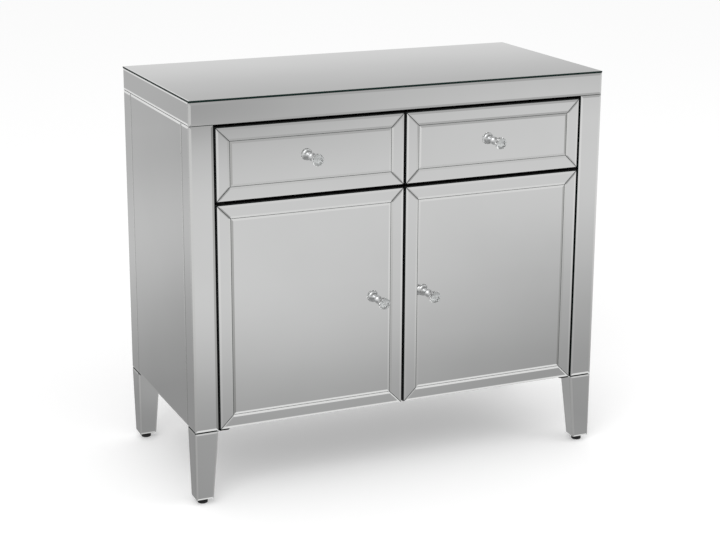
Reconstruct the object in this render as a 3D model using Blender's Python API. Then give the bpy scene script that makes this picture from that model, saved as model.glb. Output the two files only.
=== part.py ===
"""Mirrored cabinet: two drawers side by side over a two-door cupboard, on four tapered corner legs.

Metres, +Z up, the fronts face -Y. The origin is on the floor, in the middle of the object's box.
A black board carcass carries 4 mm mirror glass on the front, both sides and the top.
Heights named *_H are measured up from the carcass underside, depths named *_D back from the front plane.
"""
import math

import bmesh
import bpy
from mathutils import Matrix, Vector

# ---------------------------------------------------------------- driving dimensions
WIDTH = 0.880            # over the side mirrors
DEPTH = 0.425            # front mirror face to the back
HEIGHT = 0.800           # floor to the top glass
CARCASS_Z = 0.1515       # underside of the carcass above the floor: the legs' free length
KNOB_REACH = 0.035       # knob tip in front of the front plane

GAP = 0.0003             # between pieces that touch
GLASS = 0.0037           # mirror glass, on a 0.3 mm bed
BEVEL_W = 0.0045         # ground edge of a mirror: width and drop
BEVEL_D = 0.0009
BOARD = 0.018            # fibreboard

POST_W = 0.0472          # post mirror, seen from the front
SIDE_STRIP = 0.048       # side mirror strips, seen from the side: also the post's depth
FRONT_GLASS_W = 0.385    # mirror on one drawer or door
CENTRE_GAP = 0.006       # between the left and right front mirrors
LIP = 0.0015             # a front board shows this much round its mirror
BAND_H = 0.600           # underside of the mirror band under the top
DRAWER_LO_H, DRAWER_HI_H = 0.4531, 0.5936     # drawer mirrors
DOOR_LO_H, DOOR_HI_H = 0.0005, 0.4452         # door mirrors
STRIP_W = 0.0265         # mirror strips framing each front

LEG_FOOT = 0.035         # leg section at its foot
GLIDE_Z = 0.0115
GLIDE_R = 0.0103

FRONT_D = GLASS + GAP    # front face of the boards
FRONT_BACK_D = FRONT_D + BOARD   # back face of drawer and door boards
CARCASS_D = 0.024        # carcass boards start here, behind the fronts

DECK_LO_H, DECK_HI_H = 0.440, 0.456
BOX_LO_H, BOX_HI_H = 0.463, 0.568
BOX_D0, BOX_D1 = FRONT_BACK_D + GAP, 0.372
BOX_WALL = 0.012
BOX_FLOOR = 0.005
RUNNER_T = 0.0122
RUNNER_LO_H, RUNNER_HI_H = 0.497, 0.532
RUNNER_D0, RUNNER_D1 = 0.027, 0.392
DIVIDER_T = 0.018
SHELF_LO_H, SHELF_HI_H = 0.218, 0.234

PIN_INSET = 0.014        # pivot pin from the door board's outer edge
PIN_D = 0.009            # pivot pin behind the front plane
PIN_R = 0.0025
PIN_HOLE_R = 0.0028
TONGUE_T = 0.002

DOOR_KNOB_X = 0.0552     # door knobs, out from the middle

# ---------------------------------------------------------------- derived places
HALF = WIDTH / 2
Y0 = KNOB_REACH - (DEPTH + KNOB_REACH) / 2     # front plane
TOP_H = HEIGHT - CARCASS_Z
TOP_GLASS_H = TOP_H - 0.004                    # underside of the top glass bed
TOP_BOARD_H = TOP_GLASS_H - BOARD
CORE_X = HALF - GLASS - GAP                    # outer face of posts and side panels
POST_IN = HALF - POST_W                        # inner edge of the post mirror
CORE_IN = POST_IN - 0.0002 + 0.0004            # inner face of the post core
PANEL_IN = CORE_X - BOARD
BOARD_OUT = HALF - POST_W - 0.0048 + LIP       # outer edge of a front board
BOARD_IN = CENTRE_GAP / 2 - LIP                # inner edge of a front board
PIN_X = BOARD_OUT - PIN_INSET
HINGE_X = POST_IN - 0.0004                     # the brackets' outer face


def y(depth):
    return Y0 + depth


def z(height):
    return CARCASS_Z + height


# ---------------------------------------------------------------- scene and materials
for old in list(bpy.data.objects):
    bpy.data.objects.remove(old, do_unlink=True)


def material(name, colour, roughness, metallic=0.0, transmission=0.0):
    mat = bpy.data.materials.new(name)
    mat.use_nodes = True
    shader = mat.node_tree.nodes["Principled BSDF"]
    shader.inputs["Base Color"].default_value = (*colour, 1.0)
    shader.inputs["Roughness"].default_value = roughness
    shader.inputs["Metallic"].default_value = metallic
    shader.inputs["Transmission Weight"].default_value = transmission
    mat.diffuse_color = (*colour, 1.0)
    return mat


LOOKS = {
    "mirror": ((0.83, 0.84, 0.84), 0.03, 1.0, 0.0),
    "board": ((0.018, 0.018, 0.019), 0.55, 0.0, 0.0),
    "lining": ((0.035, 0.034, 0.033), 0.6, 0.0, 0.0),
    "steel": ((0.42, 0.43, 0.44), 0.35, 1.0, 0.0),
    "chrome": ((0.80, 0.81, 0.82), 0.08, 1.0, 0.0),
    "crystal": ((0.96, 0.97, 0.98), 0.02, 0.0, 1.0),
    "black_plastic": ((0.015, 0.015, 0.016), 0.45, 0.0, 0.0),
}


def anchor(name, place):
    """An empty on a joint's axis, which carries the pieces that move with it."""
    empty = bpy.data.objects.new(name, None)
    empty.empty_display_size = 0.03
    empty.location = place
    bpy.context.collection.objects.link(empty)
    return empty


def add(name, bm, place, look, parent=None, rotation=(0.0, 0.0, 0.0), smooth=None):
    bmesh.ops.recalc_face_normals(bm, faces=bm.faces)
    mesh = bpy.data.meshes.new(name)
    bm.to_mesh(mesh)
    bm.free()
    if smooth is not None:
        mesh.shade_smooth()
        mesh.set_sharp_from_angle(angle=smooth)
    obj = bpy.data.objects.new(name, mesh)
    bpy.context.collection.objects.link(obj)
    obj.rotation_euler = rotation
    if parent is not None:
        obj.parent = parent
        obj.location = Vector(place) - parent.location
    else:
        obj.location = place
    obj.data.materials.append(material(name, *LOOKS[look]))
    return obj


# ---------------------------------------------------------------- shapes
def block_mesh(sx, sy, sz):
    bm = bmesh.new()
    bmesh.ops.create_cube(bm, size=1.0, matrix=Matrix.Diagonal((sx, sy, sz, 1.0)))
    return bm


def span(x0, x1, d0, d1, h0, h1):
    """Centre and size of a box given by its limits: x, depth behind the front, height on the carcass."""
    centre = ((x0 + x1) / 2, y((d0 + d1) / 2), z((h0 + h1) / 2))
    return centre, (abs(x1 - x0), abs(d1 - d0), abs(h1 - h0))


def board(name, x0, x1, d0, d1, h0, h1, look="board", parent=None, edge=0.0):
    centre, size = span(x0, x1, d0, d1, h0, h1)
    bm = block_mesh(*size)
    if edge:
        bmesh.ops.bevel(bm, geom=bm.edges[:], offset=edge, segments=1, affect="EDGES")
    return add(name, bm, centre, look, parent)


def outline_plate(name, outline, h0, h1, look="board"):
    """A board cut to an outline, given as x and depth, from height h0 to h1."""
    bm = bmesh.new()
    verts = [bm.verts.new((px, y(pd), z(h0))) for px, pd in outline]
    face = bm.faces.new(verts)
    raised = bmesh.ops.extrude_face_region(bm, geom=[face])
    lifted = [item for item in raised["geom"] if isinstance(item, bmesh.types.BMVert)]
    bmesh.ops.translate(bm, verts=lifted, vec=(0.0, 0.0, h1 - h0))
    centre = Vector((0.0, 0.0, z((h0 + h1) / 2)))
    bmesh.ops.translate(bm, verts=bm.verts[:], vec=-centre)
    return add(name, bm, centre, look)


FACING = {
    "front": (math.pi / 2, 0.0, 0.0),
    "left": (0.0, -math.pi / 2, 0.0),
    "right": (0.0, math.pi / 2, 0.0),
    "top": (0.0, 0.0, 0.0),
}


def mirror(name, centre, width, height, facing, parent=None, bevel=(BEVEL_W, BEVEL_D)):
    """Glass plate with a ground bevel round its show face. The centre is the middle of its show face."""
    along, across = (height, width) if facing in ("left", "right") else (width, height)
    bm = block_mesh(along, across, GLASS - bevel[1])
    bmesh.ops.translate(bm, verts=bm.verts[:], vec=(0.0, 0.0, -(GLASS + bevel[1]) / 2))
    bm.faces.ensure_lookup_table()
    show = max(bm.faces, key=lambda face: face.calc_center_median().z)
    bmesh.ops.inset_region(bm, faces=[show], thickness=bevel[0], depth=bevel[1], use_even_offset=True)
    return add(name, bm, centre, "mirror", parent, FACING[facing])


def mirror_ring(name, centre, width, height, strip, parent):
    """Four mitred strips round a front, bevelled on both long edges: one ring."""
    section = [
        (0.0, -GLASS), (0.0, -BEVEL_D), (BEVEL_W, 0.0),
        (strip - BEVEL_W, 0.0), (strip, -BEVEL_D), (strip, -GLASS),
    ]
    bm = bmesh.new()
    rings = []
    for sx, sy in ((-1, -1), (1, -1), (1, 1), (-1, 1)):
        rings.append([
            bm.verts.new((sx * (width / 2 - inset), sy * (height / 2 - inset), level))
            for inset, level in section
        ])
    for i in range(4):
        a, b = rings[i], rings[(i + 1) % 4]
        for j in range(len(section)):
            k = (j + 1) % len(section)
            bm.faces.new((a[j], b[j], b[k], a[k]))
    return add(name, bm, centre, "mirror", parent, FACING["front"])


def turned(profile, sides, twist=0.0):
    """A turned solid about Z from a profile of (radius, height), closed on the axis at both ends."""
    bm = bmesh.new()
    rows = []
    for radius, height in profile:
        if radius == 0.0:
            rows.append([bm.verts.new((0.0, 0.0, height))])
            continue
        row = []
        for i in range(sides):
            turn = twist + 2.0 * math.pi * i / sides
            row.append(bm.verts.new((radius * math.cos(turn), radius * math.sin(turn), height)))
        rows.append(row)
    for low, high in zip(rows, rows[1:]):
        for i in range(sides):
            k = (i + 1) % sides
            if len(low) == 1:
                bm.faces.new((low[0], high[i], high[k]))
            elif len(high) == 1:
                bm.faces.new((low[i], low[k], high[0]))
            else:
                bm.faces.new((low[i], low[k], high[k], high[i]))
    return bm


# ---------------------------------------------------------------- carcass: corner posts with their legs
def leg_post(name, side, depth0):
    """Corner post whose foot is a tapered leg. The outer and front faces stay upright; the other two taper.

    The leg is at its finished size with its mirror facings; above it the post is bare board behind the mirrors.
    """
    rear = depth0 > 0.1
    x_out, x_in = HALF, POST_IN
    d_front, d_back = depth0, depth0 + SIDE_STRIP
    foot = [(x_out, d_front), (x_out - LEG_FOOT, d_front), (x_out - LEG_FOOT, d_front + LEG_FOOT), (x_out, d_front + LEG_FOOT)]
    top = [(x_out, d_front), (x_in, d_front), (x_in, d_back), (x_out, d_back)]
    core_d0 = d_front if rear else d_front + FRONT_D
    core = [(CORE_X, core_d0), (CORE_IN, core_d0), (CORE_IN, d_back), (CORE_X, d_back)]
    levels = [(foot, GLIDE_Z + GAP), (top, z(-GAP)), (core, z(-GAP)), (core, z(TOP_BOARD_H) - GAP)]
    bm = bmesh.new()
    rings = [[bm.verts.new((side * px, y(pd), level)) for px, pd in shape] for shape, level in levels]
    bm.faces.new(rings[0])
    bm.faces.new(rings[-1])
    for low, high in zip(rings, rings[1:]):
        for i in range(4):
            k = (i + 1) % 4
            bm.faces.new((low[i], low[k], high[k], high[i]))
    place = Vector((side * (x_out - LEG_FOOT / 2), y(d_front + LEG_FOOT / 2), 0.0))
    bmesh.ops.translate(bm, verts=bm.verts[:], vec=-place)
    add(name, bm, place, "board")
    return place


REAR_D = DEPTH - SIDE_STRIP
for side, hand in ((-1, "left"), (1, "right")):
    for depth0, end in ((0.0, "front"), (REAR_D, "rear")):
        foot = leg_post(f"leg_post_{end}_{hand}", side, depth0)
        glide = turned([(0.0, 0.0), (GLIDE_R - 0.0012, 0.0), (GLIDE_R, 0.0012), (GLIDE_R, GLIDE_Z - 0.0015),
                        (GLIDE_R - 0.0015, GLIDE_Z), (0.0, GLIDE_Z)], 24)
        add(f"glide_{end}_{hand}", glide, foot, "black_plastic", smooth=math.radians(40))

# ---------------------------------------------------------------- carcass: boards
for side, hand in ((-1, "left"), (1, "right")):
    board(f"side_panel_{hand}", side * CORE_X, side * PANEL_IN, SIDE_STRIP + GAP, REAR_D - GAP, 0.0, TOP_BOARD_H - GAP)

BACK_D0, BACK_D1 = DEPTH - 0.010, DEPTH - 0.004
NOTCH_X, NOTCH_D = HINGE_X - 0.030, SIDE_STRIP + 0.002


def carcass_outline(d0):
    """Board between the side panels, cut round the four posts and the hinge brackets."""
    inside = PANEL_IN - GAP
    post = CORE_IN - GAP
    back = BACK_D0 - GAP
    right = [(NOTCH_X, d0), (NOTCH_X, NOTCH_D), (inside, NOTCH_D), (inside, REAR_D - GAP), (post, REAR_D - GAP), (post, back)]
    left = [(-px, pd) for px, pd in reversed(right)]
    return right + left


outline_plate("bottom_board", carcass_outline(CARCASS_D), 0.0, 0.018)
outline_plate("drawer_deck", carcass_outline(CARCASS_D), DECK_LO_H, DECK_HI_H)
outline_plate("cupboard_shelf", [
    (PANEL_IN - 0.001, 0.060), (PANEL_IN - 0.001, REAR_D - 0.001), (CORE_IN - 0.001, REAR_D - 0.001), (CORE_IN - 0.001, BACK_D0 - 0.001),
    (-CORE_IN + 0.001, BACK_D0 - 0.001), (-CORE_IN + 0.001, REAR_D - 0.001), (-PANEL_IN + 0.001, REAR_D - 0.001), (-PANEL_IN + 0.001, 0.060),
], SHELF_LO_H, SHELF_HI_H)
board("back_panel", -CORE_IN + GAP, CORE_IN - GAP, BACK_D0, BACK_D1, 0.0, TOP_BOARD_H - GAP, "lining")
board("drawer_divider", -DIVIDER_T / 2, DIVIDER_T / 2, CARCASS_D, BACK_D0 - GAP, DECK_HI_H + GAP, TOP_BOARD_H - GAP)
board("front_rail", -CORE_IN + GAP, CORE_IN - GAP, FRONT_D, FRONT_BACK_D, BAND_H, TOP_BOARD_H - GAP)
board("top_board", -CORE_X, CORE_X, FRONT_D, DEPTH, TOP_BOARD_H, TOP_GLASS_H - GAP)

# ---------------------------------------------------------------- carcass: mirrors
mirror("top_mirror", (0.0, y(DEPTH / 2), HEIGHT), WIDTH, DEPTH, "top", bevel=(0.0035, 0.0007))
BAND_MID, BAND_TALL = (BAND_H + GAP + TOP_GLASS_H - GAP) / 2, TOP_GLASS_H - BAND_H - 2 * GAP
mirror("band_mirror_front", (0.0, y(0.0), z(BAND_MID)), WIDTH, BAND_TALL, "front")
POST_MID, POST_TALL = (BAND_H - GAP) / 2, BAND_H - GAP
for side, hand in ((-1, "left"), (1, "right")):
    mirror(f"band_mirror_{hand}", (side * HALF, y((FRONT_D + DEPTH) / 2), z(BAND_MID)), DEPTH - FRONT_D, BAND_TALL, hand)
    mirror(f"post_mirror_{hand}", (side * (HALF - POST_W / 2), y(0.0), z(POST_MID)), POST_W, POST_TALL, "front")
    for part, d0, d1 in (("front", FRONT_D, SIDE_STRIP - GAP / 2), ("centre", SIDE_STRIP + GAP / 2, REAR_D - GAP / 2),
                         ("rear", REAR_D + GAP / 2, DEPTH)):
        mirror(f"side_mirror_{hand}_{part}", (side * HALF, y((d0 + d1) / 2), z(POST_MID)), d1 - d0, POST_TALL, hand)


# ---------------------------------------------------------------- drawer runners, on the posts and the divider
def runner(name, wall_x, inward):
    """Steel channel, open towards the drawer."""
    t, tall, sheet = RUNNER_T - 2 * GAP, RUNNER_HI_H - RUNNER_LO_H, 0.002
    section = [(0, 0), (t, 0), (t, sheet), (sheet, sheet), (sheet, tall - sheet), (t, tall - sheet), (t, tall), (0, tall)]
    bm = bmesh.new()
    face = bm.faces.new([bm.verts.new((inward * u, 0.0, v)) for u, v in section])
    run = bmesh.ops.extrude_face_region(bm, geom=[face])
    moved = [item for item in run["geom"] if isinstance(item, bmesh.types.BMVert)]
    bmesh.ops.translate(bm, verts=moved, vec=(0.0, RUNNER_D1 - RUNNER_D0, 0.0))
    add(name, bm, (wall_x, y(RUNNER_D0), z(RUNNER_LO_H)), "steel")


for side, hand in ((-1, "left"), (1, "right")):
    runner(f"drawer_{hand}_runner_outer", side * (CORE_IN - GAP), -side)
    runner(f"drawer_{hand}_runner_inner", side * (DIVIDER_T / 2 + GAP), side)


# ---------------------------------------------------------------- knobs
def knob(stem, x, height, parent):
    base = turned([
        (0.0, GAP), (0.0080, GAP), (0.0080, 0.0020), (0.0071, 0.0038), (0.0060, 0.0070), (0.0051, 0.0120), (0.0049, 0.0164),
        (0.0069, 0.0185), (0.0100, 0.0206), (0.0112, 0.0230), (0.0108, 0.0234), (0.0, 0.0234)], 20)
    add(f"{stem}_knob_base", base, (x, y(0.0), z(height)), "chrome", parent, FACING["front"], smooth=math.radians(40))
    head = turned([
        (0.0, 0.0237), (0.0099, 0.0237), (0.0121, 0.0267), (0.0121, 0.0286), (0.0102, 0.0322),
        (0.0066, KNOB_REACH), (0.0, KNOB_REACH)], 12)
    add(f"{stem}_knob_crystal", head, (x, y(0.0), z(height)), "crystal", parent, FACING["front"])


def front_mirrors(stem, side, h0, h1, parent):
    """Mitred mirror frame and centre mirror of one drawer or door."""
    middle = side * (CENTRE_GAP / 2 + FRONT_GLASS_W / 2)
    centre = (middle, y(0.0), z((h0 + h1) / 2))
    mirror_ring(f"{stem}_mirror_frame", centre, FRONT_GLASS_W, h1 - h0, STRIP_W, parent)
    inner = 2 * STRIP_W + 2 * GAP
    mirror(f"{stem}_mirror_panel", centre, FRONT_GLASS_W - inner, h1 - h0 - inner, "front", parent)
    return middle


# ---------------------------------------------------------------- drawers
for side, hand in ((-1, "left"), (1, "right")):
    stem = f"drawer_{hand}"
    mid_h = (DRAWER_LO_H + DRAWER_HI_H) / 2
    slide = anchor(f"{stem}_slide", (side * (BOARD_OUT + BOARD_IN) / 2, y(FRONT_BACK_D), z(mid_h)))
    board(f"{stem}_front_board", side * BOARD_OUT, side * BOARD_IN, FRONT_D, FRONT_BACK_D,
          DRAWER_LO_H - LIP, DRAWER_HI_H + LIP, parent=slide)
    middle = front_mirrors(stem, side, DRAWER_LO_H, DRAWER_HI_H, slide)
    knob(stem, middle, mid_h, slide)
    # open box: walls round a thin floor that is let in above the lower edge
    x_out, x_in = CORE_IN - RUNNER_T - GAP, DIVIDER_T / 2 + RUNNER_T + GAP
    centre, size = span(side * x_out, side * x_in, BOX_D0, BOX_D1, BOX_LO_H, BOX_HI_H)
    bm = block_mesh(*size)
    bm.faces.ensure_lookup_table()
    upper = max(bm.faces, key=lambda face: face.calc_center_median().z)
    lower = min(bm.faces, key=lambda face: face.calc_center_median().z)
    under = 0.008
    for face, push in ((upper, -(size[2] - under - BOX_FLOOR)), (lower, under)):
        bmesh.ops.inset_region(bm, faces=[face], thickness=BOX_WALL, use_even_offset=True)
        pocket = bmesh.ops.extrude_face_region(bm, geom=[face])
        moved = [item for item in pocket["geom"] if isinstance(item, bmesh.types.BMVert)]
        bmesh.ops.translate(bm, verts=moved, vec=(0.0, 0.0, push))
        bmesh.ops.delete(bm, geom=[face], context="FACES_ONLY")
    add(f"{stem}_box", bm, centre, "lining", slide)


# ---------------------------------------------------------------- doors and their pivot hinges
def bracket(name, side, door_edge_h, up):
    """Angle bracket: a leaf on the post's inner face, behind the door, and a tongue past the door's edge with a pin."""
    leaf_d0, leaf_d1 = 0.0265, 0.0462
    tongue_lo = door_edge_h + 0.0014 if up > 0 else door_edge_h - 0.0014 - TONGUE_T
    tongue_hi = tongue_lo + TONGUE_T
    leaf_far = door_edge_h - up * 0.038
    # side view of the angle, in x and height, extruded over the leaf's depth; the tongue then runs forward
    bm = bmesh.new()
    x_out, x_leaf, x_end = HINGE_X, HINGE_X - 0.002, PIN_X - 0.0075
    near, far = (tongue_lo, tongue_hi) if up > 0 else (tongue_hi, tongue_lo)
    angle = [(x_out, leaf_far), (x_leaf, leaf_far), (x_leaf, near), (x_end, near), (x_end, far), (x_out, far)]
    front_ring = [bm.verts.new((side * px, y(leaf_d0), z(ph))) for px, ph in angle]
    back_ring = [bm.verts.new((side * px, y(leaf_d1), z(ph))) for px, ph in angle]
    bm.faces.new(back_ring)
    count = len(angle)
    for i in range(count):
        k = (i + 1) % count
        bm.faces.new((front_ring[i], front_ring[k], back_ring[k], back_ring[i]))
    # leaf end of the front side, split where the tongue starts
    corner = bm.verts.new((side * x_out, y(leaf_d0), z(near)))
    bm.faces.new((front_ring[0], front_ring[1], front_ring[2], corner))
    outer = next(face for face in bm.faces if set(face.verts) == {front_ring[5], front_ring[0], back_ring[0], back_ring[5]})
    bm.faces.remove(outer)
    bm.faces.new((front_ring[5], corner, front_ring[0], back_ring[0], back_ring[5]))
    # tongue forward to the pin, with cut corners
    reach = 0.0035
    tip = [(x_out, 0.0120), (x_out - 0.004, reach), (x_end + 0.003, reach), (x_end, reach + 0.004)]
    tip_near = [bm.verts.new((side * px, y(pd), z(near))) for px, pd in tip]
    tip_far = [bm.verts.new((side * px, y(pd), z(far))) for px, pd in tip]
    bm.faces.new([corner] + tip_near + [front_ring[3], front_ring[2]])
    bm.faces.new([front_ring[5]] + tip_far + [front_ring[4]])
    ring_near = [corner] + tip_near + [front_ring[3]]
    ring_far = [front_ring[5]] + tip_far + [front_ring[4]]
    for i in range(len(ring_near) - 1):
        bm.faces.new((ring_near[i], ring_near[i + 1], ring_far[i + 1], ring_far[i]))
    place = Vector((side * PIN_X, y(PIN_D), z(door_edge_h)))
    bmesh.ops.translate(bm, verts=bm.verts[:], vec=-place)
    obj = add(name, bm, place, "steel")
    # the pin, joined on with a union so that the bracket is one solid
    pin_low, pin_high = sorted((door_edge_h - up * 0.009, (tongue_lo + tongue_hi) / 2))
    pin = turned([(0.0, pin_low), (PIN_R, pin_low), (PIN_R, pin_high), (0.0, pin_high)], 16)
    cutter = add(f"guide_{name}", pin, (side * PIN_X, y(PIN_D), z(0.0)), "steel")
    cutter.hide_render = True
    cutter.display_type = "WIRE"
    join = obj.modifiers.new("pin", "BOOLEAN")
    join.operation = "UNION"
    join.solver = "EXACT"
    join.object = cutter
    return obj


for side, hand in ((-1, "left"), (1, "right")):
    stem = f"door_{hand}"
    low, high = DOOR_LO_H - 0.0002, DOOR_HI_H + LIP
    mid_h = (DOOR_LO_H + DOOR_HI_H) / 2
    swing = anchor(f"{stem}_swing", (side * PIN_X, y(PIN_D), z(mid_h)))
    leaf = board(f"{stem}_board", side * BOARD_OUT, side * BOARD_IN, FRONT_D, FRONT_BACK_D, low, high, parent=swing)
    for end, edge_h, up in (("upper", high, 1), ("lower", low, -1)):
        bracket(f"{stem}_hinge_{end}", side, edge_h, up)
        hole_lo, hole_hi = sorted((edge_h - up * 0.012, edge_h + up * 0.001))
        hole = turned([(0.0, hole_lo), (PIN_HOLE_R, hole_lo), (PIN_HOLE_R, hole_hi), (0.0, hole_hi)], 16)
        cutter = add(f"guide_{stem}_hole_{end}", hole, (side * PIN_X, y(PIN_D), z(0.0)), "steel")
        cutter.hide_render = True
        cutter.display_type = "WIRE"
        drill = leaf.modifiers.new(f"hole_{end}", "BOOLEAN")
        drill.operation = "DIFFERENCE"
        drill.solver = "EXACT"
        drill.object = cutter
    front_mirrors(stem, side, DOOR_LO_H, DOOR_HI_H, swing)
    knob(stem, side * DOOR_KNOB_X, mid_h, swing)

# ---------------------------------------------------------------- twin magnetic catch under the deck, behind the meeting doors
board("door_catch", -0.026, 0.026, 0.0235, 0.0415, DECK_LO_H - GAP - 0.012, DECK_LO_H - GAP, "black_plastic", edge=0.0012)
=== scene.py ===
import math

import bmesh
import bpy
from mathutils import Matrix, Vector


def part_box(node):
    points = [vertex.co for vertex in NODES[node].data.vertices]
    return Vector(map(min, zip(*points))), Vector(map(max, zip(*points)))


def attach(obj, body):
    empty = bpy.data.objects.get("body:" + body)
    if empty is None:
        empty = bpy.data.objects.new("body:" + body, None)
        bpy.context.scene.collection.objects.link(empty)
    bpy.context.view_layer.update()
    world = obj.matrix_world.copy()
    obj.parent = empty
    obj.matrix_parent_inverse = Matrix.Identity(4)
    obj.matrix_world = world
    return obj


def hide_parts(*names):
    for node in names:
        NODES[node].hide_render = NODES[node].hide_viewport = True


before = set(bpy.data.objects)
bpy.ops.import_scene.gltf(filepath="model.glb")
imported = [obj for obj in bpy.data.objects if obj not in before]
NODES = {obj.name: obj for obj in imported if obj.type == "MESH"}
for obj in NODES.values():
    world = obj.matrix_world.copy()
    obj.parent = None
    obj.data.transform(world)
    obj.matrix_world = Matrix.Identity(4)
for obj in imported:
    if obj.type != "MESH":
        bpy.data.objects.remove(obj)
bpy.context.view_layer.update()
MM = 0.001

# ---------------------------------------------------------------- places, all from the CAD boxes
TOP_LO, TOP_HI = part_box("top_mirror")
FRONT_Y = TOP_LO.y
BACK_Y = TOP_HI.y
OUT_X = TOP_HI.x
TOP_Z = TOP_HI.z
POST_LO, POST_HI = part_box("post_mirror_right")
POST_IN = POST_LO.x
CASE_Z = POST_LO.z
LEG_LO, LEG_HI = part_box("leg_post_front_right")
LEG_Z = LEG_LO.z
LEG_DEPTH = 0.048
LEG_FOOT = 0.035
GLASS = 3.7 * MM
BED = 0.3 * MM


# ---------------------------------------------------------------- node material helpers
class Nodes:
    def __init__(self, name):
        self.mat = bpy.data.materials.new(name)
        self.mat.use_nodes = True
        self.tree = self.mat.node_tree
        self.bsdf = self.tree.nodes["Principled BSDF"]
        self.out = self.tree.nodes["Material Output"]

    def new(self, kind, **settings):
        node = self.tree.nodes.new(kind)
        for key, value in settings.items():
            setattr(node, key, value)
        return node

    def link(self, a, b):
        self.tree.links.new(a, b)

    def coords(self, scale=(1.0, 1.0, 1.0)):
        where = self.new("ShaderNodeTexCoord")
        mapping = self.new("ShaderNodeMapping")
        mapping.inputs["Scale"].default_value = scale
        self.link(where.outputs["Object"], mapping.inputs["Vector"])
        return mapping.outputs["Vector"]

    def noise(self, scale, detail=4.0, rough=0.55, vector=None, distortion=0.0):
        node = self.new("ShaderNodeTexNoise")
        node.inputs["Scale"].default_value = scale
        node.inputs["Detail"].default_value = detail
        node.inputs["Roughness"].default_value = rough
        node.inputs["Distortion"].default_value = distortion
        if vector is not None:
            self.link(vector, node.inputs["Vector"])
        return node.outputs["Fac"]

    def spread(self, value, lo, hi, from_lo=0.3, from_hi=0.7):
        node = self.new("ShaderNodeMapRange")
        node.inputs["From Min"].default_value = from_lo
        node.inputs["From Max"].default_value = from_hi
        node.inputs["To Min"].default_value = lo
        node.inputs["To Max"].default_value = hi
        self.link(value, node.inputs["Value"])
        return node.outputs["Result"]

    def ramp(self, value, stops):
        node = self.new("ShaderNodeValToRGB")
        band = node.color_ramp
        while len(band.elements) < len(stops):
            band.elements.new(0.5)
        for element, (place, colour) in zip(band.elements, stops):
            element.position = place
            element.color = (*colour, 1.0)
        self.link(value, node.inputs["Fac"])
        return node.outputs["Color"]

    def bump(self, value, strength, distance, normal=None):
        node = self.new("ShaderNodeBump")
        node.inputs["Strength"].default_value = strength
        node.inputs["Distance"].default_value = distance
        self.link(value, node.inputs["Height"])
        if normal is not None:
            self.link(normal, node.inputs["Normal"])
        self.link(node.outputs["Normal"], self.bsdf.inputs["Normal"])
        return node.outputs["Normal"]

    def put(self, **values):
        for key, value in values.items():
            self.bsdf.inputs[key.replace("_", " ")].default_value = value


def mirror_material(name, tint, rough_lo, rough_hi, lift=0.0):
    """Silvered float glass: a hint of green in the silver, faint wiping marks in the gloss."""
    m = Nodes(name)
    m.put(Metallic=1.0)
    m.bsdf.inputs["Specular IOR Level"].default_value = 0.5
    broad = m.noise(5.0, 3.0, 0.5, m.coords())
    wipe = m.noise(26.0, 6.0, 0.62, m.coords((1.0, 1.0, 0.35)), 0.6)
    lo = tuple(c * 0.985 for c in tint)
    hi = tuple(min(1.0, c * 1.01) for c in tint)
    m.link(m.ramp(broad, [(0.35, lo), (0.65, hi)]), m.bsdf.inputs["Base Color"])
    m.link(m.spread(wipe, rough_lo, rough_hi, 0.35, 0.75), m.bsdf.inputs["Roughness"])
    return m.mat


def wedge_material(name, tint, rough_lo, rough_hi, bend):
    """A bevel seen through its own wedge of glass: the light bends back towards the sheet's middle.

    The sheet's flat face looks along the piece's own Z, so the silver behind the wedge reflects as if it leaned the other way, by bend
    times the bevel's own lean.
    """
    m = Nodes(name)
    m.put(Metallic=1.0)
    geometry = m.new("ShaderNodeNewGeometry")
    inward = m.new("ShaderNodeVectorTransform", vector_type="NORMAL", convert_from="WORLD", convert_to="OBJECT")
    m.link(geometry.outputs["Normal"], inward.inputs[0])
    lean = m.new("ShaderNodeVectorMath", operation="MULTIPLY")
    m.link(inward.outputs[0], lean.inputs[0])
    lean.inputs[1].default_value = (-bend, -bend, 1.0)
    unit = m.new("ShaderNodeVectorMath", operation="NORMALIZE")
    m.link(lean.outputs[0], unit.inputs[0])
    outward = m.new("ShaderNodeVectorTransform", vector_type="NORMAL", convert_from="OBJECT", convert_to="WORLD")
    m.link(unit.outputs[0], outward.inputs[0])
    m.link(outward.outputs[0], m.bsdf.inputs["Normal"])
    wipe = m.noise(40.0, 4.0, 0.6, m.coords())
    m.link(m.ramp(wipe, [(0.35, tuple(c * 0.985 for c in tint)), (0.65, tint)]), m.bsdf.inputs["Base Color"])
    m.link(m.spread(wipe, rough_lo, rough_hi), m.bsdf.inputs["Roughness"])
    return m.mat


def edge_material():
    """Ground edge of the glass, seen as a near-black green line."""
    m = Nodes("glass_edge")
    m.put(IOR=1.52)
    m.bsdf.inputs["Specular IOR Level"].default_value = 0.05
    grind = m.noise(900.0, 3.0, 0.6, m.coords((1.0, 1.0, 1.0)))
    m.link(m.ramp(grind, [(0.3, (0.004, 0.011, 0.010)), (0.7, (0.010, 0.026, 0.022))]), m.bsdf.inputs["Base Color"])
    m.link(m.spread(grind, 0.16, 0.32), m.bsdf.inputs["Roughness"])
    m.bump(grind, 0.15, 0.0002)
    return m.mat


def lacquer_material(name, lo, hi, rough, speck=260.0):
    """Black lacquer on fibreboard: fine orange peel and a slightly uneven gloss."""
    m = Nodes(name)
    m.put(IOR=1.5)
    m.bsdf.inputs["Specular IOR Level"].default_value = 0.35
    cloud = m.noise(9.0, 4.0, 0.6, m.coords())
    peel = m.noise(speck, 5.0, 0.6, m.coords())
    m.link(m.ramp(cloud, [(0.3, lo), (0.7, hi)]), m.bsdf.inputs["Base Color"])
    m.link(m.spread(cloud, rough - 0.06, rough + 0.08), m.bsdf.inputs["Roughness"])
    m.bump(peel, 0.22, 0.0003)
    return m.mat


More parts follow.
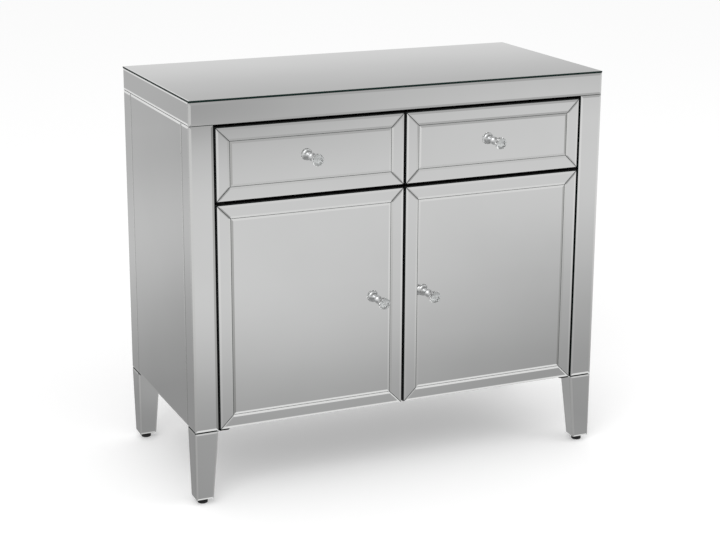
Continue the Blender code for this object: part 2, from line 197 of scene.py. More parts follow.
def grain_material(name, lo, hi, rough, stretch):
    """Stained thin board with a drawn-out grain."""
    m = Nodes(name)
    m.put(IOR=1.5)
    m.bsdf.inputs["Specular IOR Level"].default_value = 0.3
    vector = m.coords(stretch)
    grain = m.noise(18.0, 7.0, 0.65, vector, 1.2)
    pores = m.noise(120.0, 4.0, 0.6, vector)
    m.link(m.ramp(grain, [(0.32, lo), (0.5, tuple((a + b) / 2 for a, b in zip(lo, hi))), (0.7, hi)]), m.bsdf.inputs["Base Color"])
    m.link(m.spread(pores, rough - 0.08, rough + 0.1), m.bsdf.inputs["Roughness"])
    m.bump(pores, 0.25, 0.0003)
    return m.mat


def metal_material(name, lo, hi, rough_lo, rough_hi, stretch=(1.0, 1.0, 1.0), scale=90.0, bump=0.0):
    m = Nodes(name)
    m.put(Metallic=1.0)
    vector = m.coords(stretch)
    streak = m.noise(scale, 5.0, 0.6, vector)
    cloud = m.noise(22.0, 3.0, 0.5, m.coords())
    m.link(m.ramp(cloud, [(0.3, lo), (0.7, hi)]), m.bsdf.inputs["Base Color"])
    m.link(m.spread(streak, rough_lo, rough_hi), m.bsdf.inputs["Roughness"])
    if bump:
        m.bump(streak, bump, 0.0002)
    return m.mat


def crystal_material():
    m = Nodes("cut_crystal")
    m.put(IOR=1.55)
    m.bsdf.inputs["Transmission Weight"].default_value = 1.0
    cloud = m.noise(60.0, 3.0, 0.5, m.coords())
    m.link(m.ramp(cloud, [(0.3, (0.955, 0.968, 0.962)), (0.7, (0.985, 0.99, 0.988))]), m.bsdf.inputs["Base Color"])
    m.link(m.spread(cloud, 0.0, 0.018), m.bsdf.inputs["Roughness"])
    return m.mat


def plastic_material(name, lo, hi, rough):
    m = Nodes(name)
    m.put(IOR=1.46)
    grain = m.noise(700.0, 3.0, 0.6, m.coords())
    cloud = m.noise(40.0, 3.0, 0.5, m.coords())
    m.link(m.ramp(cloud, [(0.3, lo), (0.7, hi)]), m.bsdf.inputs["Base Color"])
    m.link(m.spread(grain, rough - 0.06, rough + 0.1), m.bsdf.inputs["Roughness"])
    m.bump(grain, 0.3, 0.0002)
    return m.mat


MIRROR = mirror_material("mirror_silver", (0.870, 0.874, 0.871), 0.004, 0.022)
BEVEL = mirror_material("mirror_bevel", (0.900, 0.903, 0.896), 0.02, 0.06)
BEVEL_SIDE = wedge_material("mirror_bevel_side", (0.885, 0.888, 0.878), 0.02, 0.06, 0.52)
# lighter tint than the other bevels: a painted highlight on the bevels along the gaps and on the legs
BEVEL_PAINTED_HIGHLIGHT = wedge_material("mirror_bevel_painted_highlight", (0.985, 0.985, 0.978), 0.02, 0.06, 0.3)
# darker tint of the side bevel's silver: painted shade, a darker reflection on the bevels at the outer joints
BEVEL_PAINTED_SHADE = wedge_material("mirror_bevel_painted_shade", (0.600, 0.602, 0.590), 0.02, 0.06, 0.52)
BEVEL_LOW = wedge_material("mirror_bevel_wedge", (0.905, 0.908, 0.902), 0.02, 0.06, 1.0)
BEVEL_TOP = wedge_material("mirror_bevel_top", (0.900, 0.903, 0.896), 0.02, 0.06, 0.52)
EDGE = edge_material()
BLACK = lacquer_material("black_lacquer", (0.006, 0.006, 0.006), (0.012, 0.012, 0.012), 0.46)
INSIDE = lacquer_material("inside_black", (0.011, 0.011, 0.011), (0.020, 0.019, 0.019), 0.55, 180.0)
BLACK_STEEL = metal_material("hinge_black_steel", (0.010, 0.010, 0.010), (0.020, 0.020, 0.020), 0.42, 0.55)
LINING_X = grain_material("lining_board", (0.016, 0.015, 0.014), (0.036, 0.034, 0.032), 0.6, (0.25, 3.0, 3.0))
LINING_Z = grain_material("lining_back", (0.013, 0.013, 0.012), (0.028, 0.027, 0.026), 0.62, (3.0, 3.0, 0.25))
STEEL = metal_material("zinc_steel", (0.36, 0.37, 0.38), (0.52, 0.53, 0.55), 0.24, 0.42, (1.0, 0.15, 1.0), 140.0, 0.1)
SCREW = metal_material("screw_steel", (0.42, 0.42, 0.42), (0.58, 0.58, 0.57), 0.22, 0.36)
CHROME = metal_material("knob_chrome", (0.78, 0.785, 0.79), (0.86, 0.865, 0.87), 0.03, 0.08)
CRYSTAL = crystal_material()
PLASTIC = plastic_material("black_nylon", (0.009, 0.009, 0.010), (0.018, 0.018, 0.019), 0.42)


# ---------------------------------------------------------------- mesh helpers
def piece(name, bm, mats, body, nodes=(), place=None, smooth=None):
    bmesh.ops.recalc_face_normals(bm, faces=bm.faces)
    mesh = bpy.data.meshes.new(name)
    bm.to_mesh(mesh)
    bm.free()
    for mat in mats:
        mesh.materials.append(mat)
    if smooth is not None:
        mesh.shade_smooth()
        mesh.set_sharp_from_angle(angle=math.radians(smooth))
    obj = bpy.data.objects.new(name, mesh)
    bpy.context.scene.collection.objects.link(obj)
    if place is not None:
        obj.matrix_world = place
    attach(obj, body)
    if nodes:
        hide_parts(*nodes)
    return obj


def offset_polygon(points, offsets):
    """A convex polygon's sides moved inwards, each by its own distance."""
    count = len(points)
    lines = []
    for i in range(count):
        a, b = points[i], points[(i + 1) % count]
        along = (b - a).normalized()
        inward = Vector((-along.y, along.x))
        lines.append((a + inward * offsets[i], along))
    result = []
    for i in range(count):
        (p, r), (q, s) = lines[i - 1], lines[i]
        cross = r.x * s.y - r.y * s.x
        t = ((q.x - p.x) * s.y - (q.y - p.y) * s.x) / cross
        result.append(p + r * t)
    return result


def upright_bevel(name, x, out_x):
    """Which bevel a front sheet has along an upright side at x: 6 with a painted highlight along the gaps, 7 with
    painted shade at the outer joints, or 5 plain.
    """
    away, outward = abs(x), x * out_x > 0.0
    if name.startswith("leg_glass") or x > 0.3905:
        return 6
    if away < 0.010 or 0.380 < away < 0.3905 or (away < 0.045 and not outward):
        return 6
    if (0.340 < away < 0.375 and outward) or (-0.400 < x < -0.3905 and not outward):
        return 7
    return 5


def glass(name, corners, body, nodes=(), widths=None, drop=0.95 * MM, thick=GLASS, silver_rims=()):
    """A sheet of mirror glass from the corners of its show face, anticlockwise seen from outside.

    widths gives the bevel along each side. The sheet has a square ground edge, a fine arris, the bevel and the show face. silver_rims are
    the directions in which the edge is polished and silvered, at the cabinet's own corners.
    """
    corners = [Vector(c) for c in corners]
    middle = sum(corners, Vector()) / len(corners)
    normal = (corners[1] - corners[0]).cross(corners[2] - corners[1]).normalized()
    u = (corners[1] - corners[0]).normalized()
    v = normal.cross(u)
    flat = [Vector(((c - middle).dot(u), (c - middle).dot(v))) for c in corners]
    widths = widths or [4.3 * MM] * len(flat)
    arris = 0.28 * MM
    layers = [
        (flat, -thick), (flat, -drop - arris),
        (offset_polygon(flat, [arris] * len(flat)), -drop),
        (offset_polygon(flat, [w + arris for w in widths]), 0.0),
    ]
    bm = bmesh.new()
    rings = [[bm.verts.new((p.x, p.y, level)) for p in shape] for shape, level in layers]
    back = bm.faces.new(list(reversed(rings[0])))
    back.material_index = 2
    count = len(flat)
    flat_top = abs(normal.z) > 0.9
    for row, (low, high) in enumerate(zip(rings, rings[1:])):
        for i in range(count):
            k = (i + 1) % count
            face = bm.faces.new((low[i], low[k], high[k], high[i]))
            out = (corners[k] - corners[i]).cross(normal).normalized()
            if row == 2:
                face.material_index = 4 if flat_top else (3 if out.z < -0.9 else (5 if abs(out.z) < 0.3 else 1))
                if face.material_index == 5 and normal.y < -0.9:
                    face.material_index = upright_bevel(name, (corners[i].x + corners[k].x) / 2, out.x)
            else:
                face.material_index = 1 if any(out.dot(Vector(way)) > 0.9 for way in silver_rims) else 2
    front = bm.faces.new(rings[-1])
    front.material_index = 0
    place = Matrix.Translation(middle) @ Matrix((u, v, normal)).transposed().to_4x4()
    return piece(name, bm, [MIRROR, BEVEL, EDGE, BEVEL_LOW, BEVEL_TOP, BEVEL_SIDE, BEVEL_PAINTED_HIGHLIGHT, BEVEL_PAINTED_SHADE], body, nodes, place)


def lathe(profile, sides, mats, pick=None):
    """A turned solid about Z, from (radius, height) points, closed on the axis."""
    bm = bmesh.new()
    rows = []
    for radius, height in profile:
        if radius == 0.0:
            rows.append([bm.verts.new((0.0, 0.0, height))])
        else:
            rows.append([bm.verts.new((radius * math.cos(2 * math.pi * i / sides),
                                       radius * math.sin(2 * math.pi * i / sides), height)) for i in range(sides)])
    for row, (low, high) in enumerate(zip(rows, rows[1:])):
        for i in range(sides):
            k = (i + 1) % sides
            if len(low) == 1:
                face = bm.faces.new((low[0], high[i], high[k]))
            elif len(high) == 1:
                face = bm.faces.new((low[i], low[k], high[0]))
            else:
                face = bm.faces.new((low[i], low[k], high[k], high[i]))
            if pick:
                face.material_index = pick(row)
    return bm


# ---------------------------------------------------------------- flat mirrors on the case
glass("mirror_sheet_top", [(-OUT_X, FRONT_Y, TOP_Z), (OUT_X, FRONT_Y, TOP_Z), (OUT_X, BACK_Y, TOP_Z), (-OUT_X, BACK_Y, TOP_Z)],
      "carcass", ["top_mirror"], [2.2 * MM] * 4, 0.4 * MM)


def front_sheet(name, x0, x1, z0, z1, body, nodes, widths=None, y=FRONT_Y, silver_rims=()):
    return glass(name, [(x0, y, z0), (x1, y, z0), (x1, y, z1), (x0, y, z1)], body, nodes, widths, silver_rims=silver_rims)


def side_sheet(name, side, y0, y1, z0, z1, body, nodes, widths=None):
    x = side * OUT_X
    near, far = (y1, y0) if side < 0 else (y0, y1)
    return glass(name, [(x, near, z0), (x, far, z0), (x, far, z1), (x, near, z1)], body, nodes, widths)


lo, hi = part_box("band_mirror_front")
front_sheet("band_sheet_front", lo.x, hi.x, lo.z, hi.z, "carcass", ["band_mirror_front"], silver_rims=[(1, 0, 0), (-1, 0, 0)])
for side, hand in ((-1, "left"), (1, "right")):
    lo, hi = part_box(f"band_mirror_{hand}")
    side_sheet(f"band_sheet_{hand}", side, lo.y, hi.y, lo.z, hi.z, "carcass", [f"band_mirror_{hand}"], [4.3 * MM, 4.3 * MM, 2.2 * MM, 4.3 * MM])
    lo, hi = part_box(f"post_mirror_{hand}")
    front_sheet(f"post_sheet_{hand}", lo.x, hi.x, lo.z, hi.z, "carcass", [f"post_mirror_{hand}"], silver_rims=[(side, 0, 0)])
    for part in ("front", "centre", "rear"):
        lo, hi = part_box(f"side_mirror_{hand}_{part}")
        side_sheet(f"side_sheet_{hand}_{part}", side, lo.y, hi.y, lo.z, hi.z, "carcass", [f"side_mirror_{hand}_{part}"])


# ---------------------------------------------------------------- corner posts and mirror-faced legs
def leg(side, hand, end):
    node = f"leg_post_{end}_{hand}"
    lo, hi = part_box(node)
    yf = lo.y                                   # the upright front face
    zt, zb = CASE_Z - BED, lo.z
    xo, xi, xf = OUT_X, POST_IN, OUT_X - LEG_FOOT
    yb, yfb = yf + LEG_DEPTH, yf + LEG_FOOT     # back face at the top and at the foot
    t = GLASS + BED
    rear = end == "rear"
    # black core: leg, then the bare post behind the mirrors
    slope = (xf - xi) / (zt - zb)
    lean = t * math.sqrt(1 + slope * slope)
    foot = [(xo - t, yf + t), (xf + lean, yf + t), (xf + lean, yfb), (xo - t, yfb)]
    head = [(xo - t, yf + t), (xi + lean, yf + t), (xi + lean, yb), (xo - t, yb)]
    post_y = yf if rear else yf + t
    post = [(xo - t, post_y), (POST_IN + 0.2 * MM, post_y), (POST_IN + 0.2 * MM, yb), (xo - t, yb)]
    bm = bmesh.new()
    rings = [[bm.verts.new((side * px, py, level)) for px, py in shape]
             for shape, level in ((foot, zb), (head, zt), (post, zt), (post, hi.z))]
    bm.faces.new(rings[0])
    bm.faces.new(rings[-1])
    for low, high in zip(rings, rings[1:]):
        for i in range(4):
            k = (i + 1) % 4
            bm.faces.new((low[i], low[k], high[k], high[i]))
    bmesh.ops.recalc_face_normals(bm, faces=bm.faces)
    piece(f"post_core_{end}_{hand}", bm, [BLACK], "carcass", [node])
    narrow = [3.0 * MM] * 4

    def turn(points):
        """Corners for the right-hand leg, mirrored for the left-hand one."""
        return points if side > 0 else [(-px, py, pz) for px, py, pz in reversed(points)]

    # the leg's glass stops a little short of the post's, and the inner sheet short of the leg's back
    zg = zt - 2.0 * MM
    xig = xi + slope * (zt - zg)
    ybg = yb - (yb - yfb) * (zt - zg) / (zt - zb)
    back = 3.6 * MM
    glass(f"leg_glass_front_{end}_{hand}", turn([(xf, yf, zb), (xo, yf, zb), (xo, yf, zg), (xig, yf, zg)]), "carcass", [node], narrow,
          silver_rims=[(1, 0, 0), (-1, 0, 0)])
    glass(f"leg_glass_outer_{end}_{hand}", turn([(xo, yf + t, zb), (xo, yfb, zb), (xo, ybg, zg), (xo, yf + t, zg)]), "carcass", [node], narrow)
    glass(f"leg_glass_inner_{end}_{hand}", turn([(xf, yfb - back, zb), (xf, yf + t, zb), (xig, yf + t, zg), (xig, ybg - back, zg)]), "carcass",
          [node], narrow)
    # glide: a moulded dish on its nail
    glo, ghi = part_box(f"glide_{end}_{hand}")
    radius, tall = (ghi.x - glo.x) / 2, ghi.z - glo.z
    profile = [(0.0, 0.0), (radius * 0.62, 0.0), (radius * 0.80, 0.25 * MM), (radius * 0.93, 0.9 * MM), (radius * 0.99, 1.9 * MM),
               (radius, 3.0 * MM), (radius, 4.6 * MM), (radius * 0.97, 5.3 * MM), (radius * 0.90, 5.7 * MM), (radius * 0.90, 6.2 * MM),
               (radius * 0.97, 6.6 * MM), (radius, 7.2 * MM), (radius, tall - 0.9 * MM), (radius * 0.95, tall - 0.3 * MM),
               (radius * 0.88, tall), (0.0, tall)]
    bm = lathe(profile, 48, [PLASTIC])
    piece(f"glide_cup_{end}_{hand}", bm, [PLASTIC], "carcass", [f"glide_{end}_{hand}"],
          Matrix.Translation(((glo.x + ghi.x) / 2, (glo.y + ghi.y) / 2, glo.z)), 35)


for side, hand in ((-1, "left"), (1, "right")):
    for end in ("front", "rear"):
        leg(side, hand, end)


# ---------------------------------------------------------------- drawer and door fronts
STRIP = 26.5 * MM


def front_face(stem, body):
    """Four mitred strips with ground mitres, and the bevelled centre mirror."""
    node = f"{stem}_mirror_frame"
    lo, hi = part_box(node)
    y = lo.y
    x0, x1, z0, z1 = lo.x, hi.x, lo.z, hi.z
    s, g = STRIP, 0.42 * MM
    wide, mitre = 4.3 * MM, 2.1 * MM
    sides = {
        "lower": [(x0 + g, y, z0), (x1 - g, y, z0), (x1 - s - g, y, z0 + s), (x0 + s + g, y, z0 + s)],
        "right": [(x1, y, z0 + g), (x1, y, z1 - g), (x1 - s, y, z1 - s - g), (x1 - s, y, z0 + s + g)],
        "upper": [(x1 - g, y, z1), (x0 + g, y, z1), (x0 + s + g, y, z1 - s), (x1 - s - g, y, z1 - s)],
        "left": [(x0, y, z1 - g), (x0, y, z0 + g), (x0 + s, y, z0 + s + g), (x0 + s, y, z1 - s - g)],
    }
    for name, corners in sides.items():
        glass(f"{stem}_strip_{name}", corners, body, [node], [wide, mitre, wide, mitre])
    lo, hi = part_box(f"{stem}_mirror_panel")
    front_sheet(f"{stem}_centre_sheet", lo.x, hi.x, lo.z, hi.z, body, [f"{stem}_mirror_panel"], [wide] * 4, lo.y)


def knob(stem, body):
    blo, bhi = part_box(f"{stem}_knob_base")
    clo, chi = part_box(f"{stem}_knob_crystal")
    x, z = (clo.x + chi.x) / 2, (clo.z + chi.z) / 2
    place = Matrix.Translation((x, FRONT_Y, z)) @ Matrix.Rotation(math.pi / 2, 4, "X")
    base = [(0.0, 0.3), (7.8, 0.3), (8.0, 0.6), (8.0, 2.0), (7.7, 2.7), (7.1, 3.8), (6.6, 5.0), (6.0, 7.0), (5.5, 9.4), (5.1, 12.0),
            (4.85, 14.6), (4.9, 16.4), (5.5, 17.6), (6.9, 18.5), (8.6, 19.4), (10.0, 20.6), (10.9, 22.0), (11.2, 23.0), (11.1, 23.3),
            (10.8, 23.4), (0.0, 23.4)]
    piece(f"{stem}_rosette", lathe([(r * MM, h * MM) for r, h in base], 64, [CHROME]), [CHROME], body,
          [f"{stem}_knob_base"], place, 50)
    # cut head: a ring of kite facets each side of the girdle, and a flat table in front
    sides = 12
    bm = bmesh.new()

    def ring(radius, height, twist):
        return [bm.verts.new((radius * MM * math.cos(2 * math.pi * (i + twist) / sides),
                              radius * MM * math.sin(2 * math.pi * (i + twist) / sides), height * MM)) for i in range(sides)]

    seat = ring(9.9, 23.7, 0.0)
    waist = ring(11.2, 25.1, 0.5)
    girdle_lo = ring(12.1, 26.7, 0.0)
    girdle_hi = ring(12.1, 28.6, 0.0)
    crown = ring(10.4, 31.8, 0.5)
    table = ring(6.8, 35.0, 0.0)
    bm.faces.new(list(reversed(seat)))
    bm.faces.new(table)

    def facets(low, high, low_first):
        for i in range(sides):
            k = (i + 1) % sides
            if low_first:        # high ring sits half a step on
                bm.faces.new((low[i], low[k], high[i]))
                bm.faces.new((high[i], low[k], high[k]))
            else:                # low ring sits half a step on
                bm.faces.new((low[i], high[k], high[i]))
                bm.faces.new((low[i], low[k], high[k]))

    facets(seat, waist, True)
    facets(waist, girdle_lo, False)
    for i in range(sides):
        k = (i + 1) % sides
        bm.faces.new((girdle_lo[i], girdle_lo[k], girdle_hi[k], girdle_hi[i]))
    facets(girdle_hi, crown, True)
    facets(crown, table, False)
    piece(f"{stem}_cut_head", bm, [CRYSTAL], body, [f"{stem}_knob_crystal"], place)


def screw(name, at, axis, body, radius=3.2 * MM, tall=1.1 * MM):
    """Countersunk-pan screw head with a round recess, standing on a surface along axis."""
    profile = [(0.0, 0.02 * MM), (radius, 0.02 * MM), (radius, tall * 0.35), (radius * 0.93, tall * 0.62), (radius * 0.72, tall * 0.88),
               (radius * 0.45, tall), (radius * 0.26, tall), (radius * 0.18, tall * 0.30), (0.0, tall * 0.22)]
    bm = lathe(profile, 20, [SCREW])
    place = Matrix.Translation(at) @ Vector(axis).to_track_quat("Z", "Y").to_matrix().to_4x4()
    return piece(name, bm, [SCREW], body, (), place, 40)


for side, hand in ((-1, "left"), (1, "right")):
    for kind in ("drawer", "door"):
        stem = f"{kind}_{hand}"
        front_face(stem, stem)
        knob(stem, stem)


# ---------------------------------------------------------------- hardware that shows when it is open
for side, hand in ((-1, "left"), (1, "right")):
    # hinge screws into the posts
    for end in ("upper", "lower"):
        lo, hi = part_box(f"door_{hand}_hinge_{end}")
        face_x = (hi.x - 2.0 * MM) if side > 0 else (lo.x + 2.0 * MM)
        lift = (lo.z + 0.012, lo.z + 0.028) if end == "upper" else (hi.z - 0.028, hi.z - 0.012)
        for i, level in enumerate(lift):
            screw(f"hinge_screw_{end}_{hand}_{i}", (face_x, hi.y - 0.010, level), (-side, 0, 0), "carcass")
    # the moving half of each drawer runner, inside its channel
    box_lo, box_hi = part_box(f"drawer_{hand}_box")
    for which in ("outer", "inner"):
        lo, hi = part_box(f"drawer_{hand}_runner_{which}")
        toward = side if which == "outer" else -side          # from the box to the channel's web
        wall = (box_hi.x if toward > 0 else box_lo.x)
        mid = (lo.z + hi.z) / 2
        depth, tall, sheet = 8.4 * MM, 25.0 * MM, 1.4 * MM
        section = [(0.15 * MM, -tall / 2 + 3 * MM), (sheet, -tall / 2 + 3 * MM), (sheet + 2.4 * MM, -tall / 2), (depth, -tall / 2),
                   (depth, -tall / 2 + sheet), (sheet + 3.2 * MM, -tall / 2 + sheet), (sheet * 1.9, -tall / 2 + 4.6 * MM),
                   (sheet * 1.9, tall / 2 - 4.6 * MM), (sheet + 3.2 * MM, tall / 2 - sheet), (depth, tall / 2 - sheet),
                   (depth, tall / 2), (sheet + 2.4 * MM, tall / 2), (sheet, tall / 2 - 3 * MM), (0.15 * MM, tall / 2 - 3 * MM)]
        bm = bmesh.new()
        y0, y1 = box_lo.y + 0.008, box_hi.y - 0.002
        a = [bm.verts.new((wall + toward * du, y0, mid + dz)) for du, dz in section]
        b = [bm.verts.new((wall + toward * du, y1, mid + dz)) for du, dz in section]
        bm.faces.new(a)
        bm.faces.new(b)
        for i in range(len(section)):
            k = (i + 1) % len(section)
            bm.faces.new((a[i], a[k], b[k], b[i]))
        piece(f"drawer_{hand}_slide_{which}", bm, [STEEL], f"drawer_{hand}")
    # knob screws at the back of the doors and in the drawers
    clo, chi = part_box(f"door_{hand}_knob_crystal")
    board_lo, board_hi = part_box(f"door_{hand}_board")
    screw(f"door_{hand}_knob_screw", ((clo.x + chi.x) / 2, board_hi.y, (clo.z + chi.z) / 2), (0, 1, 0), f"door_{hand}", 4.0 * MM, 1.6 * MM)
    clo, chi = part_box(f"drawer_{hand}_knob_crystal")
    screw(f"drawer_{hand}_knob_screw", ((clo.x + chi.x) / 2, box_lo.y + 12.0 * MM, (clo.z + chi.z) / 2), (0, 1, 0), f"drawer_{hand}", 4.0 * MM, 1.6 * MM)
    # strike plate for the catch
    cat_lo, cat_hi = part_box("door_catch")
    bm = lathe([(0.0, 0.05 * MM), (7.5 * MM, 0.05 * MM), (7.5 * MM, 0.8 * MM), (7.0 * MM, 1.1 * MM), (2.4 * MM, 1.1 * MM), (1.8 * MM, 0.6 * MM), (0.0, 0.5 * MM)], 32, [STEEL])
    piece(f"door_{hand}_strike_plate", bm, [STEEL], f"door_{hand}", (),
          Matrix.Translation((side * 0.0145, board_hi.y, (cat_lo.z + cat_hi.z) / 2 - 0.5 * MM)) @ Matrix.Rotation(-math.pi / 2, 4, "X"), 40)

# shelf pins
shelf_lo, shelf_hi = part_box("cupboard_shelf")
panel_lo, panel_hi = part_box("side_panel_right")
for side, hand in ((-1, "left"), (1, "right")):
    for end, y in (("front", shelf_lo.y + 0.045), ("rear", shelf_hi.y - 0.085)):
        bm = lathe([(0.0, 0.0), (2.5 * MM, 0.0), (2.5 * MM, 8.0 * MM), (2.1 * MM, 8.6 * MM), (0.0, 8.6 * MM)], 20, [STEEL])
        place = Matrix.Translation((side * (panel_lo.x - 0.05 * MM), y, shelf_lo.z - 2.7 * MM)) @ Matrix.Rotation(-side * math.pi / 2, 4, "Y")
        piece(f"shelf_pin_{end}_{hand}", bm, [STEEL], "carcass", (), place, 40)

# back panel screws, round its edge
back_lo, back_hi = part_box("back_panel")
spots = [(x, z) for x in (-0.36, -0.12, 0.12, 0.36) for z in (back_lo.z + 0.012, back_hi.z - 0.02)]
spots += [(x, z) for x in (back_lo.x + 0.010, back_hi.x - 0.010) for z in (0.32, 0.50, 0.66)]
for i, (x, z) in enumerate(spots):
    screw(f"back_screw_{i:02d}", (x, back_hi.y, z), (0, 1, 0), "carcass", 3.0 * MM, 0.9 * MM)

# ---------------------------------------------------------------- finishes of the CAD nodes that stay
for name, obj in NODES.items():
    if obj.hide_render:
        continue
    if "hinge" in name:
        mat = BLACK_STEEL
    elif "runner" in name:
        mat = STEEL
    elif name == "door_catch":
        mat = PLASTIC
    elif name.endswith("_box"):
        mat = LINING_X
    elif name == "back_panel":
        mat = LINING_Z
    elif name in ("cupboard_shelf", "bottom_board", "drawer_deck", "drawer_divider"):
        mat = INSIDE
    else:
        mat = BLACK
    obj.data.materials.clear()
    obj.data.materials.append(mat)

# ---------------------------------------------------------------- stage: pale floor
bm = bmesh.new()
bmesh.ops.create_grid(bm, x_segments=2, y_segments=2, size=60.0)
mesh = bpy.data.meshes.new("studio_floor")
bm.to_mesh(mesh)
bm.free()
floor = bpy.data.objects.new("studio_floor", mesh)
floor.location = (0.0, 0.0, 0.0)
bpy.context.scene.collection.objects.link(floor)
paint = Nodes("studio_paint")
paint.put(Roughness=0.9)
paint.bsdf.inputs["Specular IOR Level"].default_value = 0.0
paint.bsdf.inputs["Base Color"].default_value = (0.80, 0.80, 0.80, 1.0)
paint.bsdf.inputs["Emission Color"].default_value = (1.0, 1.0, 1.0, 1.0)
paint.bsdf.inputs["Emission Strength"].default_value = 0.31
mesh.materials.append(paint.mat)
floor.visible_glossy = False
floor.visible_transmission = False

# The studio as the mirrors see it: a grey sweep on the floor and walls that glows but is no lamp, so its tones are a
# painted reflection:
# brightest about two metres off, with darker places of painted shade, a bright horizon and a painted softbox glow. Only
# reflections and the light through the crystal see it.
FLOOR_TONE = [(0.2, 0.45), (0.5, 0.415), (0.75, 0.48), (1.0, 0.59), (1.25, 0.66), (1.5, 0.69), (2.8, 0.67), (3.4, 0.67), (4.2, 0.59),
              (5.0, 0.50), (7.0, 0.62), (10.0, 0.74), (14.0, 0.80)]
FLOOR_SHADE = [(0.7, -4.1, 0.7, -0.21), (2.3, 2.9, 1.1, -0.30), (0.62, 0.15, 0.22, -0.14), (1.3, -0.95, 0.6, -0.23), (1.25, 0.95, 0.48, -0.29), (-0.50, 0.05, 0.32, -0.05), (0.35, -0.07, 0.11, 0.04)]
WALL_BACK = [(0.0, 0.78), (0.19, 0.78), (0.215, 0.75), (0.225, 0.70), (0.23, 0.66), (0.24, 0.58), (0.25, 0.52), (0.27, 0.47), (0.35, 0.42),
             (0.6, 0.38), (0.75, 0.55), (0.9, 0.85), (1.2, 0.95), (50.0, 0.95)]
WALL_FRONT = [(0.0, 0.78), (0.19, 0.78), (0.215, 0.70), (0.24, 0.52), (0.27, 0.42), (0.35, 0.36), (1.3, 0.30), (2.0, 0.55), (50.0, 0.70)]
SOFTBOX_WAY = Vector((-0.66, -0.18, 0.73)).normalized()


def along(table, value):
    if value <= table[0][0]:
        return table[0][1]
    for (a, low), (b, high) in zip(table, table[1:]):
        if value <= b:
            return low + (high - low) * (value - a) / (b - a)
    return table[-1][1]


def reach_of(x, y):
    return (abs(x) ** 6 + abs(y) ** 6) ** (1 / 6)


def tone(x, y, z):
    reach = max(1e-6, reach_of(x, y))
    if z > 0.0:
        ahead = min(1.0, max(0.0, (-y / reach - 0.2) / 0.6))
        # a painted highlight: a bright lobe high on the left, where a softbox would show in the reflections
        painted_softbox_glow = 1.3 * math.exp(-(Vector((x, y, z)).angle(SOFTBOX_WAY) / 0.5) ** 2)
        return along(WALL_BACK, z / reach) * (1.0 - ahead) + along(WALL_FRONT, z / reach) * ahead + painted_softbox_glow
    value = along(FLOOR_TONE, reach)
    for cx, cy, width, depth in FLOOR_SHADE:
        for side in (-1, 1):
            value += depth * math.exp(-((x - side * cx) ** 2 + (y - cy) ** 2) / (2 * width * width))
    return max(0.3, value)


bm = bmesh.new()
sides, radius = 160, 14.0
levels = [(0.0, -0.004)] + [(0.12 * i, -0.004) for i in range(1, 46)]
step = levels[-1][0]
while step < radius / 1.1:
    step *= 1.08
    levels.append((step, -0.004))
levels.append((radius, -0.004))
levels += [(radius, radius * 0.01 * i) for i in range(0, 40)]
levels += [(radius, radius * (0.4 + 0.05 * i)) for i in range(0, 17)]
levels += [(radius * (1.0 - 0.05 * i), radius * 1.2) for i in range(1, 20)] + [(0.0, radius * 1.2)]
rings = []
for r, h in levels:
    ring = []
    for i in range(sides if r else 1):
        a = 2 * math.pi * i / sides
        stretch = 1.0 / reach_of(math.cos(a), math.sin(a))      # a rounded square room
        blend = min(1.0, r / 4.0)
        ring.append(bm.verts.new((r * math.cos(a) * (1 + (stretch - 1) * blend), r * math.sin(a) * (1 + (stretch - 1) * blend), h)))
    rings.append(ring)
for low, high in zip(rings, rings[1:]):
    for i in range(sides):
        k = (i + 1) % sides
        if len(low) == 1:
            bm.faces.new((low[0], high[i], high[k]))
        elif len(high) == 1:
            bm.faces.new((low[i], low[k], high[0]))
        else:
            bm.faces.new((low[i], low[k], high[k], high[i]))
mesh = bpy.data.meshes.new("painted_reflection_sweep")
bm.to_mesh(mesh)
bm.free()
glow_values = mesh.color_attributes.new("tone", "FLOAT_COLOR", "POINT")
for vertex, item in zip(mesh.vertices, glow_values.data):
    value = tone(*vertex.co)
    item.color = (value, value, value, 1.0)
sweep = bpy.data.objects.new("painted_reflection_sweep", mesh)
bpy.context.scene.collection.objects.link(sweep)
m = Nodes("painted_reflection_glow")
m.tree.nodes.remove(m.bsdf)
read = m.new("ShaderNodeAttribute", attribute_name="tone")
glow = m.new("ShaderNodeEmission")
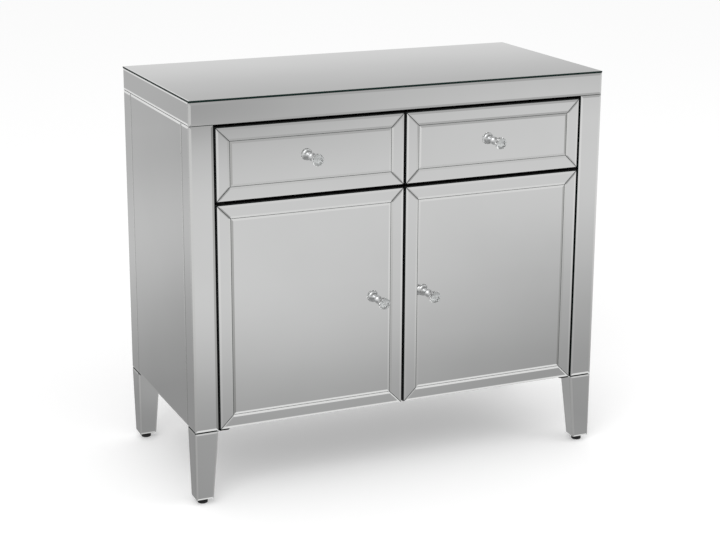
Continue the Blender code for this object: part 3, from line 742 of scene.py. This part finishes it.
m.link(read.outputs["Color"], glow.inputs["Color"])
m.link(glow.outputs[0], m.out.inputs["Surface"])
mesh.materials.append(m.mat)
# seen by no camera, diffuse or shadow ray: its glow is a painted reflection in the mirrors, chrome and crystal
sweep.visible_camera = False
sweep.visible_diffuse = False
sweep.visible_shadow = False
sweep.visible_glossy = True
sweep.visible_transmission = True

# ---------------------------------------------------------------- soft light
world = bpy.data.worlds.new("studio")
bpy.context.scene.world = world
world.use_nodes = True
world.node_tree.nodes["Background"].inputs["Color"].default_value = (1.0, 1.0, 1.0, 1.0)
world.node_tree.nodes["Background"].inputs["Strength"].default_value = 0.80


def softbox(name, at, aim, size, power):
    data = bpy.data.lights.new(name, "AREA")
    data.shape = "RECTANGLE"
    data.size, data.size_y = size
    data.energy = power
    obj = bpy.data.objects.new(name, data)
    obj.location = at
    obj.rotation_mode = "QUATERNION"
    obj.rotation_quaternion = (Vector(aim) - Vector(at)).to_track_quat("-Z", "Y")
    bpy.context.scene.collection.objects.link(obj)
    obj.visible_glossy = False
    return obj


softbox("key", (-2.4, -2.8, 3.6), (0, 0, 0.4), (2.4, 2.4), 60.0)
softbox("fill", (3.0, -2.0, 2.8), (0, 0, 0.4), (2.4, 2.4), 22.0)

# ---------------------------------------------------------------- camera, at the photograph's angle
cam_data = bpy.data.cameras.new("camera")
cam = bpy.data.objects.new("camera", cam_data)
bpy.context.scene.collection.objects.link(cam)
cam_data.sensor_width = 36.0
cam_data.lens = 84.66
cam_data.shift_y = -40.0 / 720.0
AZ, EL, ROLL = math.radians(-23.93), math.radians(14.82), math.radians(0.25)
cam.location = (-1.3876, -3.1057, 1.3638)
ahead = Vector((-math.sin(AZ) * math.cos(EL), math.cos(AZ) * math.cos(EL), -math.sin(EL)))
cam.rotation_mode = "QUATERNION"
cam.rotation_quaternion = ahead.to_track_quat("-Z", "Y") @ Matrix.Rotation(ROLL, 3, "Z").to_quaternion()
bpy.context.scene.camera = cam
bpy.context.scene.view_settings.view_transform = "Standard"
